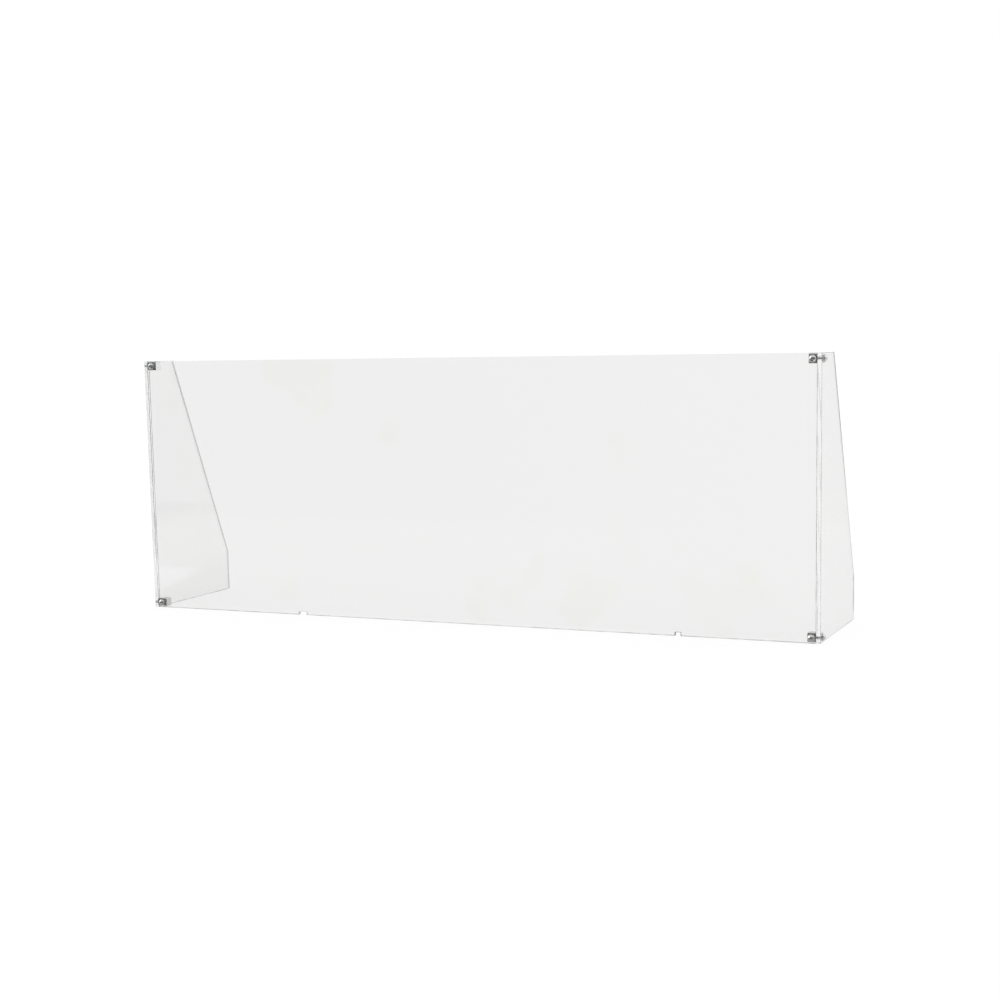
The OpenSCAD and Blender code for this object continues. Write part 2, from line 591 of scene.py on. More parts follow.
def edge_wear_and_shade() -> bpy.types.NodeTree:
    """Edge mask broken up by noise, as on an edge that was worked and then handled; on the clear sheets
    the same mask also carries painted shade.

    Returns:
        The group, with its Scale and Edge.
    """
    unbroken = 0.5
    breaks = (0.35, 0.65)

    def fill(wiring: Wiring, where: Socket, scale: Socket, edge: Socket) -> Socket:
        """Takes between the unbroken share and all of the edge.

        Args:
            wiring: Adds the nodes.
            where: Object coordinates.
            scale: Waves a metre.
            edge: Edge mask of the mesh.

        Returns:
            The broken-up mask.
        """
        breakup = wiring.step(wiring.noise(where, scale), *breaks)
        share = wiring.weighted(unbroken, (breakup, 1.0 - unbroken))
        return wiring.math("MULTIPLY", edge, share)

    return shared_effect("edge_wear_and_shade", ("Scale", "Edge"), fill)


@dataclass(frozen=True, kw_only=True)
class Finish:
    """A material that is made once and shared by its pieces; see material for two exceptions.

    Handling leaves marks on the faces, and the edges wear; on the clear sheets the edge mask also paints
    shade. Scales are in waves a metre.
    """

    name: str
    colour: Colour
    mark_colour: Colour
    roughness: float
    mark_scale: float
    mark_threshold: float
    edge_scale: float
    bump_strength: float
    bump_depth: float

    def material(self) -> bpy.types.Material:
        """Gives the material of the finish's name, and makes it where there is none yet.

        The frame brings a plain material for each slot of the record. Two of those names are also
        finishes here, chromed_block and polished_screw, so the blocks and screws wear the frame's
        plain materials as they are, and PlatedMetal's nodes are not built.

        Returns:
            The material.
        """
        made = bpy.data.materials.get(self.name)
        if made:
            return made
        made = bpy.data.materials.new(self.name)
        made.use_nodes = True
        wiring = Wiring(made.node_tree)
        where = wiring.add("ShaderNodeTexCoord").outputs["Object"]
        edge = wiring.add("ShaderNodeAttribute", attribute_name=EDGE_MASK).outputs["Fac"]
        marks = wiring.use(
            handling_marks(), Vector=where, Scale=self.mark_scale, Threshold=self.mark_threshold
        )
        wear_and_shade = wiring.use(edge_wear_and_shade(), Vector=where, Scale=self.edge_scale, Edge=edge)
        shader = self.shader(wiring, where, marks, wear_and_shade)
        wiring.add("ShaderNodeOutputMaterial", {"Surface": shader.outputs[0]})
        return made

    def shader(self, wiring: Wiring, where: Socket, marks: Socket, wear_and_shade: Socket) -> bpy.types.Node:
        """Builds the shader.

        Args:
            wiring: Adds the nodes.
            where: Object coordinates.
            marks: Mask of the handling marks.
            wear_and_shade: Mask of the worn edges, which on the clear sheets also carries painted shade.

        Returns:
            The Principled BSDF node.
        """
        raise NotImplementedError


@dataclass(frozen=True, kw_only=True)
class ClearAcrylic(Finish):
    """Cast acrylic: polished faces with faint warm wiping marks, and eased arrises that are rougher and
    darkened by painted shade.
    """

    # Painted shade: the dark tint of the arrises stands in for the dark lines that light bent and mirrored
    # at the edges gives
    edge_shade_colour: Colour = (0.22, 0.24, 0.23, 1.0)
    roughness: float = 0.012
    mark_roughness: float = 0.02
    edge_roughness: float = 0.08
    refraction: float = 1.49
    mark_scale: float = 7.0
    mark_threshold: float = 0.60
    line_scale: float = 30.0
    line_width: float = 0.004
    edge_scale: float = 45.0
    bump_strength: float = 0.05
    bump_depth: float = 0.02 * MM

    def shader(self, wiring: Wiring, where: Socket, marks: Socket, wear_and_shade: Socket) -> bpy.types.Node:
        """Builds the shader; see Finish.

        Args:
            wiring: Adds the nodes.
            where: Object coordinates.
            marks: Mask of the handling marks.
            wear_and_shade: Mask of the worn edges, which here also lays painted shade on the arrises.

        Returns:
            The Principled BSDF node.
        """
        lines = wiring.use(wipe_lines(), Vector=where, Scale=self.line_scale, Width=self.line_width)
        face = wiring.blend(marks, self.colour, self.mark_colour)
        haze = wiring.weighted(
            self.roughness,
            (marks, self.mark_roughness),
            (lines, self.mark_roughness),
            (wear_and_shade, self.edge_roughness),
        )
        # The base colour turns to the painted edge shade where the edge mask is high
        return wiring.add(
            "ShaderNodeBsdfPrincipled",
            {
                "Base Color": wiring.blend(wear_and_shade, face, self.edge_shade_colour),
                "Roughness": haze,
                "IOR": self.refraction,
                "Transmission Weight": 1.0,
                "Normal": wiring.bump(lines, self.bump_strength, self.bump_depth),
            },
        )


@dataclass(frozen=True, kw_only=True)
class PlatedMetal(Finish):
    """Bright plated metal: faint smears on the faces, and edges buffed duller than the faces."""

    mark_roughness: float = 0.05
    line_roughness: float = 0.08
    edge_roughness: float
    mark_scale: float = 160.0
    mark_threshold: float = 0.52
    line_scale: float = 600.0
    line_width: float = 0.02
    line_depth: float = -0.5
    edge_scale: float = 900.0
    grain_scale: float
    bump_strength: float = 0.12
    bump_depth: float = 0.01 * MM

    def shader(self, wiring: Wiring, where: Socket, marks: Socket, wear_and_shade: Socket) -> bpy.types.Node:
        """Builds the shader; see Finish.

        Args:
            wiring: Adds the nodes.
            where: Object coordinates.
            marks: Mask of the handling marks.
            wear_and_shade: Mask of the worn edges.

        Returns:
            The Principled BSDF node.
        """
        lines = wiring.use(wipe_lines(), Vector=where, Scale=self.line_scale, Width=self.line_width)
        dulled = wiring.math("MAXIMUM", marks, wear_and_shade)
        gloss = wiring.weighted(
            self.roughness,
            (marks, self.mark_roughness),
            (lines, self.line_roughness),
            (wear_and_shade, self.edge_roughness),
        )
        grain = wiring.noise(where, self.grain_scale, detail=4.0)
        height = wiring.weighted(grain, (lines, self.line_depth))
        return wiring.add(
            "ShaderNodeBsdfPrincipled",
            {
                "Base Color": wiring.blend(dulled, self.colour, self.mark_colour),
                "Metallic": 1.0,
                "Roughness": gloss,
                "Normal": wiring.bump(height, self.bump_strength, self.bump_depth),
            },
        )


@dataclass(frozen=True, kw_only=True)
class MilkyNylon(Finish):
    """Translucent nylon of the washers, cloudy inside and a little yellow at the rim."""

    cloud_share: float = 0.5
    cloud_roughness: float = 0.1
    refraction: float = 1.53
    translucency: float = 0.75

    def shader(self, wiring: Wiring, where: Socket, marks: Socket, wear_and_shade: Socket) -> bpy.types.Node:
        """Builds the shader, whose marks are the clouds; see Finish.

        Args:
            wiring: Adds the nodes.
            where: Object coordinates; not used.
            marks: Mask of the handling marks.
            wear_and_shade: Mask of the worn edges.

        Returns:
            The Principled BSDF node.
        """
        tone = wiring.math("MAXIMUM", wear_and_shade, wiring.math("MULTIPLY", marks, self.cloud_share))
        return wiring.add(
            "ShaderNodeBsdfPrincipled",
            {
                "Base Color": wiring.blend(tone, self.colour, self.mark_colour),
                "Roughness": wiring.weighted(self.roughness, (marks, self.cloud_roughness)),
                "IOR": self.refraction,
                "Transmission Weight": self.translucency,
                "Normal": wiring.bump(marks, self.bump_strength, self.bump_depth),
            },
        )


# Front and wings are one acrylic: the front's copy is darker and the wings' lighter, painted shade and
# painted light that stand in for how brightly each sheet reads
FRONT_ACRYLIC = ClearAcrylic(
    name="clear_acrylic_front",
    colour=(0.921, 0.921, 0.921, 1.0),
    mark_colour=(0.908, 0.908, 0.888, 1.0),
)
WING_ACRYLIC = ClearAcrylic(
    name="clear_acrylic_wing",
    colour=(0.95, 0.95, 0.948, 1.0),
    mark_colour=(0.937, 0.937, 0.915, 1.0),
)
CHROMED_BLOCK = PlatedMetal(
    name="chromed_block",
    colour=(0.80, 0.80, 0.785, 1.0),
    mark_colour=(0.72, 0.72, 0.69, 1.0),
    roughness=0.05,
    edge_roughness=0.10,
    grain_scale=1500.0,
)
POLISHED_SCREW = PlatedMetal(
    name="polished_screw",
    colour=(0.76, 0.76, 0.75, 1.0),
    mark_colour=(0.66, 0.66, 0.64, 1.0),
    roughness=0.07,
    edge_roughness=0.12,
    grain_scale=2200.0,
)
NYLON = MilkyNylon(
    name="milky_nylon",
    colour=(0.93, 0.93, 0.90, 1.0),
    mark_colour=(0.86, 0.86, 0.80, 1.0),
    roughness=0.28,
    mark_scale=350.0,
    mark_threshold=0.48,
    edge_scale=700.0,
    bump_strength=0.1,
    bump_depth=0.02 * MM,
)


@dataclass(kw_only=True)
class Piece:
    """One physical piece, which stands for one CAD node."""

    node: str
    finish: Finish
    slot: str

    def half_height(self) -> float:
        """Half the height of the CAD node's box."""
        return float(np.ptp(node_box(self.node), axis=0)[2]) / 2.0

    def shape(self) -> PieceMesh:
        """Works out the piece's mesh in place."""
        raise NotImplementedError

    def build(self) -> bpy.types.Object:
        """Makes the piece's object, dresses it and hands it to the frame.

        Returns:
            The object.
        """
        piece = self.shape().to_object(f"{self.node}_shaped")
        piece.data.materials.append(self.finish.material())
        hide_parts(self.node)
        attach(piece, ROOT)
        LOG.info("%s: %d vertices, %s", piece.name, len(piece.data.vertices), self.finish.name)
        return piece


@dataclass(kw_only=True)
class ClearSheet(Piece):
    """Flat clear sheet with screw holes, rounded corners and eased edges."""

    facing: Facing
    screws: tuple[str, ...]
    slot: str = "clear_acrylic"
    arris: float = 0.55 * MM
    corner_radius: float = 0.9 * MM
    bore_diameter: float = 5.5 * MM
    # Share of the edge mask, roughness and painted shade alike, on the edge walls and along the top
    faint_wear_and_shade: float = 0.06
    arris_steps: int = 5
    corner_steps: int = 7
    bore_steps: int = 64

    def corners(self) -> tuple[np.ndarray, np.ndarray]:
        """Corners of the sheet's outline, as points in place, and the radius of each."""
        raise NotImplementedError

    def outer_face(self) -> np.ndarray:
        """A point in the plane of the sheet's outer face, on the axis through the part's origin.

        Returns:
            The point.
        """
        low, high = node_box(self.node)
        outward = np.array(self.facing.value)
        return np.where(outward > 0.0, high, low) * np.abs(outward)

    def outlines(self) -> list[np.ndarray]:
        """The rounded outline and the screw holes, in the sheet's own plane.

        Returns:
            The outline first, then each hole.
        """
        origin = self.outer_face()
        corners, radii = self.corners()
        flat = self.facing.measure(corners, origin)[:, :2]
        ordered = anticlockwise(flat)
        if ordered is not flat:
            radii = radii[::-1]
        outline = rounded(ordered, radii, self.corner_steps)
        middles = [self.facing.measure(node_middle(screw), origin)[:2] for screw in self.screws]
        bore = self.bore_diameter / 2.0
        holes = [clockwise_circle(middle, bore, self.bore_steps) for middle in middles]
        return [outline, *holes]

    def shape(self) -> PieceMesh:
        """Carries the edge section round every outline and fills both faces between them.

        The rounded arrises take the full edge mask, which roughens them and lays painted shade on them,
        and the edge walls take a faint share; along the top the whole edge takes only the faint share, so
        less painted shade falls there.

        Returns:
            The sheet's mesh.
        """
        origin = self.outer_face()
        inner, outer = outward_span(self.node, self.facing, origin)
        section = edge_section(outer - inner, self.arris, self.arris_steps)
        eased = (section[:, :1] > 0.0) & (section[:, :1] < self.arris + SUPPORT)
        faint_wear_and_shade_rows = self.faint_wear_and_shade * (section[:, :1] <= self.arris)
        edge_wear_and_shade_rows = np.where(eased, 1.0, faint_wear_and_shade_rows)
        top = node_box(self.node)[1][2]
        outlines = self.outlines()
        mesh = PieceMesh()
        rims = []
        for outline in outlines:
            flat = inset(outline, section[:, 0])
            depth = np.broadcast_to(-section[:, 1, None], flat.shape[:2])
            grid = self.facing.place(np.concatenate([flat, depth[..., None]], axis=-1), origin)
            # The top edges get only the faint share of the painted edge shade
            at_top = grid[..., 2].max(axis=0) > top - self.corner_radius / 2.0
            rims.append(mesh.add_band(grid, np.where(at_top, faint_wear_and_shade_rows, edge_wear_and_shade_rows)))
        triangles = fill_between([inset(outline, section[:1, 0])[0] for outline in outlines])
        outer_rim = np.concatenate([rim[0] for rim in rims])
        inner_rim = np.concatenate([rim[-1] for rim in rims])
        mesh.faces += outer_rim[triangles].tolist()
        mesh.faces += inner_rim[triangles[:, ::-1]].tolist()
        return mesh


@dataclass
class Notch:
    """Square notch in the bottom edge of the front sheet."""

    middle: float
    width: float
    height: float = 5.0 * MM
    mouth_radius: float = 0.9 * MM
    root_radius: float = 0.8 * MM

    def corners(self) -> tuple[list[tuple[float, float]], list[float]]:
        """Corners as (x, z), left to right, and the radius of each.

        Returns:
            The corners and their radii.
        """
        left = self.middle - self.width / 2.0
        right = self.middle + self.width / 2.0
        points = [(left, 0.0), (left, self.height), (right, self.height), (right, 0.0)]
        return points, [self.mouth_radius, self.root_radius, self.root_radius, self.mouth_radius]


@dataclass(kw_only=True)
class FrontSheet(ClearSheet):
    """Upright front sheet with its two bottom notches."""

    left_notch_inset: float = 260.0 * MM
    left_notch_width: float = 12.5 * MM
    right_notch_inset: float = 191.0 * MM
    right_notch_width: float = 8.0 * MM

    def corners(self) -> tuple[np.ndarray, np.ndarray]:
        """Corners of the sheet with its notches; see ClearSheet.

        Returns:
            The corners and their radii.
        """
        low, high = node_box(self.node)
        notches = [
            Notch(low[0] + self.left_notch_inset, self.left_notch_width),
            Notch(high[0] - self.right_notch_inset, self.right_notch_width),
        ]
        left = low[0] + AIR_GAP
        right = high[0] - AIR_GAP
        points = [(left, low[2])]
        radii = [self.corner_radius]
        for notch in notches:
            cut, rounds = notch.corners()
            points += cut
            radii += rounds
        points += [(right, low[2]), (right, high[2]), (left, high[2])]
        radii += [self.corner_radius] * 3
        across, up = np.array(points).T
        return np.stack([across, np.full_like(across, low[1]), up], axis=1), np.array(radii)


@dataclass(kw_only=True)
class Wing(ClearSheet):
    """Wing whose back edge rises straight from the counter, then rakes forwards to the top."""

    top_depth: float = 70.0 * MM
    heel_height: float = 64.0 * MM

    def corners(self) -> tuple[np.ndarray, np.ndarray]:
        """Corners of the wing; see ClearSheet.

        Returns:
            The corners and their radii.
        """
        low, high = node_box(self.node)
        front, back = low[1], high[1]
        points = [
            (front, low[2]),
            (back, low[2]),
            (back, low[2] + self.heel_height),
            (front + self.top_depth, high[2]),
            (front, high[2]),
        ]
        along, up = np.array(points).T
        corners = np.stack([np.full_like(along, low[0]), along, up], axis=1)
        return corners, np.full(len(points), self.corner_radius)


@dataclass(kw_only=True)
class CornerBlock(Piece):
    """Chromed cube with rounded edges and two tapped holes at right angles."""

    tapped: tuple[Facing, Facing]
    finish: Finish = CHROMED_BLOCK
    slot: str = "chromed_block"
    edge_radius: float = 0.65 * MM
    hole_depth: float = 3.5 * MM
    drill_point: float = 0.5 * MM
    mouth_chamfer: float = 0.45 * MM
    thread: Thread = Thread(crest=2.55 * MM)
    side_steps: int = 8
    corner_steps: int = 4
    worn_rows: int = 3

    def half_side(self) -> float:
        """Half the block's side, less the air between it and the sheets."""
        return self.half_height() - AIR_GAP

    def rounding(self) -> np.ndarray:
        """Sizes that grow over a rounded edge: flat + radius tan t, with t up to an eighth of a turn.

        Returns:
            The sizes, from the flat's up.
        """
        turn = np.linspace(0.0, math.pi / 4.0, self.corner_steps + 1)
        flat = self.half_side() - self.edge_radius
        return flat + self.edge_radius * np.tan(turn)

    def side_shares(self) -> np.ndarray:
        """Places of the grid's columns along one side of a face, from its middle (0) to its end (1).

        They are even along the flat, then follow the rounding through the corner, so that
        neighbouring faces meet point for point.

        Returns:
            The places, in rising order.
        """
        rounding = self.rounding()
        straight = np.linspace(0.0, rounding[0], self.side_steps)
        return np.concatenate([straight, rounding[1:]]) / self.half_side()

    def square(self) -> np.ndarray:
        """Points round a square of half side 1, anticlockwise, one side after another.

        Returns:
            The points, one in each row.
        """
        share = self.side_shares()
        along = np.concatenate([-share[:0:-1], share[:-1]])
        side = np.stack([np.ones_like(along), along], axis=1)
        quarter = np.array([[0.0, 1.0], [-1.0, 0.0]])
        return np.concatenate([side @ np.linalg.matrix_power(quarter, turns) for turns in range(4)])

    def rounded_face(self, inner: np.ndarray) -> np.ndarray:
        """Grid from an inner ring of points out to the middle of the rounded edges.

        Squares grow over the rounding. A point beyond the flat then keeps its nearest point c of
        the inner cube and moves to c + radius along the line from c, which makes edges quarter
        cylinders and corners eighths of a sphere.

        Args:
            inner: Points of the innermost ring on the face, as (across, up).

        Returns:
            Local points in rows and columns, from the inner ring outwards.
        """
        rounding = self.rounding()
        flat = rounding[0]
        sizes = np.concatenate([[flat - SUPPORT], rounding])
        squares = sizes[:, None, None] * self.square()[None]
        rings = np.concatenate([inner[None], squares])
        face = np.full((*rings.shape[:2], 1), self.half_side())
        points = np.concatenate([rings, face], axis=-1)
        core = np.clip(points, -flat, flat)
        return core + self.edge_radius * unit(points - core)

    def tapped_hole(self, angle: np.ndarray) -> np.ndarray:
        """Grid of a blind tapped hole from its drilled point out to its chamfered mouth.

        The thread keeps step with the screw's, whose heights count from the sheet's inner face.

        Args:
            angle: Angle of each column.

        Returns:
            Local points in rows and columns, whose height is 0 at the block's face.
        """
        heights = self.thread.heights(-self.hole_depth, -self.mouth_chamfer)
        threaded = self.thread.radius(angle, heights - AIR_GAP)
        wide = np.full((1, len(angle)), self.thread.crest)
        radius = np.concatenate([0.0 * wide, wide - self.thread.depth, threaded, wide + SUPPORT])
        drilled = [-self.hole_depth - self.drill_point, -self.hole_depth]
        levels = np.concatenate([drilled, heights, [-self.mouth_chamfer + SUPPORT]])
        return turned(radius, levels, angle)

    def face(self, facing: Facing) -> tuple[np.ndarray, np.ndarray]:
        """Grid of one face, with its tapped hole if it has one.

        Args:
            facing: The face's direction.

        Returns:
            Local points in rows and columns, measured from the block's middle, and the edge mask
            of each row.
        """
        square = self.square()
        angle = np.arctan2(square[:, 1], square[:, 0])
        tapped = facing in self.tapped
        mouth = self.thread.crest + self.mouth_chamfer
        ring = (mouth + SUPPORT) * np.stack([np.cos(angle), np.sin(angle)], axis=1)
        outer = self.rounded_face(ring if tapped else np.zeros_like(square))
        mask = np.zeros(len(outer))
        mask[-self.worn_rows :] = 1.0
        if not tapped:
            return outer, mask
        lip = turned(np.full((1, len(angle)), mouth), np.zeros(1), angle)
        hole = np.concatenate([self.tapped_hole(angle), lip]) + [0.0, 0.0, self.half_side()]
        return np.concatenate([hole, outer]), np.concatenate([np.ones(len(hole)), mask])

    def shape(self) -> PieceMesh:
        """Puts the six faces round the block's middle.

        Returns:
            The block's mesh.
        """
        mesh = PieceMesh()
        middle = node_middle(self.node)
        for facing in Facing:
            grid, mask = self.face(facing)
            mesh.add_band(facing.place(grid, middle), mask[:, None])
        return mesh


@dataclass(kw_only=True)
class DomedScrew(Piece):
    """Domed head screw with a hexagon socket and a rolled thread up to its head."""

    facing: Facing
    block: str
    finish: Finish = POLISHED_SCREW
    slot: str = "polished_screw"
    head_height: float = 2.75 * MM
    rim_height: float = 0.4 * MM
    rim_radius: float = 0.2 * MM
    socket_flats: float = 3.0 * MM
    socket_depth: float = 1.6 * MM
    socket_lead: float = 0.15 * MM
    socket_ease: float = 0.08 * MM
    land_width: float = 0.3 * MM
    seat_radius: float = 0.12 * MM
    neck_length: float = 0.5 * MM
    tip_taper: float = 0.5 * MM
    socket_turn: int = 0
    thread: Thread = Thread()
    steps: int = 48
    dome_steps: int = 14
    arc_steps: int = 4

    def socket_corner(self) -> float:
        """Distance from the axis to a corner of the socket."""
        return self.socket_flats / 2.0 / math.cos(math.pi / 6.0)

    def hexagon(self, angle: np.ndarray) -> np.ndarray:
        """Share of the corner radius at each angle of a hexagon.

        The distance to a flat is cos 30 / cos t, with t the angle from the flat's middle. The
        hexagon is turned by a whole number of columns, so its corners stay on the grid.

        Args:
            angle: Angle of each column.

        Returns:
            The share of each column.
        """
        sixth = math.tau / 6.0
        turned_by = self.socket_turn * math.tau / self.steps
        from_flat = np.mod(angle - turned_by + sixth / 2.0, sixth) - sixth / 2.0
        return math.cos(sixth / 2.0) / np.cos(from_flat)

    def socket(self, top: float, angle: np.ndarray) -> tuple[np.ndarray, np.ndarray]:
        """Socket from the middle of its floor up to the flat land round its mouth.

        Args:
            top: Height of the head's top.
            angle: Angle of each column.

        Returns:
            Radii in rows and columns, and the height of each row.
        """
        corner = self.socket_corner()
        floor = top - self.socket_depth
        ease, lead = self.socket_ease, self.socket_lead
        # Radius, height and how far each row is a hexagon
        rows = np.array(
            [
                (0.0, floor - 0.5 * lead, 0.0),
                (0.75 * corner, floor, 0.5),
                (corner - ease, floor, 1.0),
                (corner, floor + ease, 1.0),
                (corner, floor + 2.0 * ease, 1.0),
                (corner, top - 2.0 * lead - ease, 1.0),
                (corner, top - 2.0 * lead, 1.0),
                (corner + ease, top - 0.5 * ease, 0.0),
                (corner + 1.5 * ease, top, 0.0),
            ]
        )
        shape = 1.0 + rows[:, 2:] * (self.hexagon(angle)[None, :] - 1.0)
        return rows[:, :1] * shape, rows[:, 1]

    def crown(self, top: float, rim: float) -> np.ndarray:
        """Profile from the land over the dome and its rounded rim to the seat under the head.

        The dome is the sphere on the axis through the land's edge and the rim. A small arc inside
        it, whose centre is sphere radius - rim radius from the sphere's, turns it into the rim.

        Args:
            top: Height of the head's top.
            rim: Radius of the head.

        Returns:
            Rows of radius and height.
        """
        seat = top - self.head_height
        land = self.socket_corner() + self.land_width
        shoulder = seat + self.rim_height
        centre = (rim**2 - land**2 + shoulder**2 - top**2) / (2.0 * (shoulder - top))
        sphere = math.hypot(land, top - centre)
        inner = rim - self.rim_radius
        rise = math.sqrt((sphere - self.rim_radius) ** 2 - inner**2)
        meet = math.atan2(inner, rise)
        side = math.pi / 2.0
        dome = arc((0.0, centre), sphere, math.asin(land / sphere), meet, self.dome_steps)
        edge = arc((inner, centre + rise), self.rim_radius, meet, side, self.arc_steps)[1:]
        turn = (rim - self.seat_radius, seat + self.seat_radius)
        foot = arc(turn, self.seat_radius, side, math.pi, self.arc_steps)
        return np.concatenate([dome, edge, foot, [[foot[-1, 0] - SUPPORT, seat]]])

    def shank(self, seat: float, tip: float, angle: np.ndarray) -> tuple[np.ndarray, np.ndarray]:
        """Thread from under the head to the closed, tapered tip.

        Args:
            seat: Height of the seat under the head.
            tip: Height of the tip.
            angle: Angle of each column.

        Returns:
            Radii in rows and columns, and the height of each row.
        """
        heights = self.thread.heights(seat - self.seat_radius, tip)
        below = np.clip((seat - heights) / self.neck_length - 0.5, 0.0, 1.0)
        radius = self.thread.radius(angle, heights, cut=below)
        taper = self.thread.crest - self.tip_taper + (heights - tip)
        radius = np.minimum(radius, taper[:, None])
        # How far out from the root and down from the seat each row of the fillet is
        fillet = self.seat_radius * np.array([(2.0, 0.0), (0.3, 0.3)])
        root = self.thread.crest - self.thread.depth
        top_rows = np.broadcast_to(root + fillet[:, :1], (len(fillet), len(angle)))
        heights = np.concatenate([seat - fillet[:, 1], heights, [tip]])
        return np.concatenate([top_rows, radius, 0.0 * radius[:1]]), heights

    def shape(self) -> PieceMesh:
        """Turns socket, crown and shank as one profile round the screw's axis.

        Returns:
            The screw's mesh.
        """
        middle = node_middle(self.node)
        block_face = outward_span(self.block, self.facing, middle)[1]
        origin = middle + block_face * np.array(self.facing.value)
        tip, top = outward_span(self.node, self.facing, origin)
        angle = round_angles(self.steps)
        socket, socket_heights = self.socket(top, angle)
        crown = self.crown(top, self.half_height())
        shank, shank_heights = self.shank(top - self.head_height, tip, angle)
        crown_rows = np.broadcast_to(crown[:, :1], (len(crown), len(angle)))
        radius = np.concatenate([socket, crown_rows, shank])
        heights = np.concatenate([socket_heights, crown[:, 1], shank_heights])
        # The socket wears, and so does all from the last row of the rim down
        mask = np.ones((len(heights), 1))
        rim_row = len(socket) + len(crown) - self.arc_steps - 2
        mask[len(socket) : rim_row] = 0.0
        mesh = PieceMesh()
        mesh.add_band(self.facing.place(turned(radius, heights, angle), origin), mask)
        return mesh


@dataclass(kw_only=True)
class ClearWasher(Piece):
    """Flat nylon washer with rounded rims."""

    facing: Facing
    finish: Finish = NYLON
    slot: str = "clear_washer"
    bore_diameter: float = 5.5 * MM
    rim_radius: float = 0.18 * MM
    rim_steps: int = 4
    steps: int = 64

    def shape(self) -> PieceMesh:
        """Turns a rounded rectangle round the washer's axis.

        Returns:
            The washer's mesh.
        """
        middle = node_middle(self.node)
        low, high = outward_span(self.node, self.facing, middle)
        outer = self.half_height()
        bore = self.bore_diameter / 2.0
        corners = np.array([(bore, low), (outer, low), (outer, high), (bore, high)])
        corners[:, 1] -= AIR_GAP * np.sign(corners[:, 1])
        section = rounded(corners, self.rim_radius, self.rim_steps)
        angle = round_angles(self.steps)
        radius = np.broadcast_to(section[:, :1], (len(section), len(angle)))
        grid = turned(radius, section[:, 1], angle)
        mesh = PieceMesh()
        mask = (section[:, :1] > outer - self.rim_radius / 2.0).astype(float)
        mesh.add_band(self.facing.place(grid, middle), mask, ring=True)
        return mesh


@dataclass
class CornerJoint:
    """One corner of the guard: a block, and a screw on its washer through each sheet."""

    level: Level
    side: Side
    front_turn: int
    wing_turn: int

    def pieces(self) -> list[Piece]:
        """The joint's five pieces.

        Returns:
            The block, then the screws, then the washers.
        """
        place = f"{self.level.value}_{self.side.value}"
        block = f"block_{place}"
        ways = (("front", Facing.FRONT, self.front_turn), ("wing", WING_FACING[self.side], self.wing_turn))
        screws = [
            DomedScrew(node=f"{sheet}_screw_{place}", facing=facing, block=block, socket_turn=turn)
            for sheet, facing, turn in ways
        ]
        washers = [
            ClearWasher(node=f"{sheet}_washer_{place}", facing=facing) for sheet, facing, _ in ways
        ]
        tapped = (Facing.FRONT, WING_FACING[self.side])
        return [CornerBlock(node=block, tapped=tapped), *screws, *washers]


@dataclass
class Guard:
    """The whole guard: front sheet, two wings and four corner joints."""

    joints: list[CornerJoint] = field(
        default_factory=lambda: [
            CornerJoint(Level.TOP, Side.LEFT, front_turn=1, wing_turn=5),
            CornerJoint(Level.TOP, Side.RIGHT, front_turn=3, wing_turn=2),
            CornerJoint(Level.BOTTOM, Side.LEFT, front_turn=6, wing_turn=4),
            CornerJoint(Level.BOTTOM, Side.RIGHT, front_turn=2, wing_turn=7),
        ]
    )

    def sheets(self) -> list[ClearSheet]:
        """The three sheets, each with the screws that pass through it.

        Returns:
            The front sheet, then the wings.
        """
        corners = [f"{level.value}_{side.value}" for level in Level for side in Side]
        wings = [
            Wing(
                node=f"{side.value}_wing",
                finish=WING_ACRYLIC,
                facing=WING_FACING[side],
                screws=tuple(f"wing_screw_{level.value}_{side.value}" for level in Level),
            )
            for side in Side
        ]
        front = FrontSheet(
            node="front_panel",
            finish=FRONT_ACRYLIC,
            facing=Facing.FRONT,
            screws=tuple(f"front_screw_{corner}" for corner in corners),
        )
        return [front, *wings]

    def build(self) -> list[bpy.types.Object]:
        """Builds every piece in the order in which the guard is put together."""
        fittings = [piece for joint in self.joints for piece in joint.pieces()]
        return [piece.build() for piece in (*self.sheets(), *fittings)]


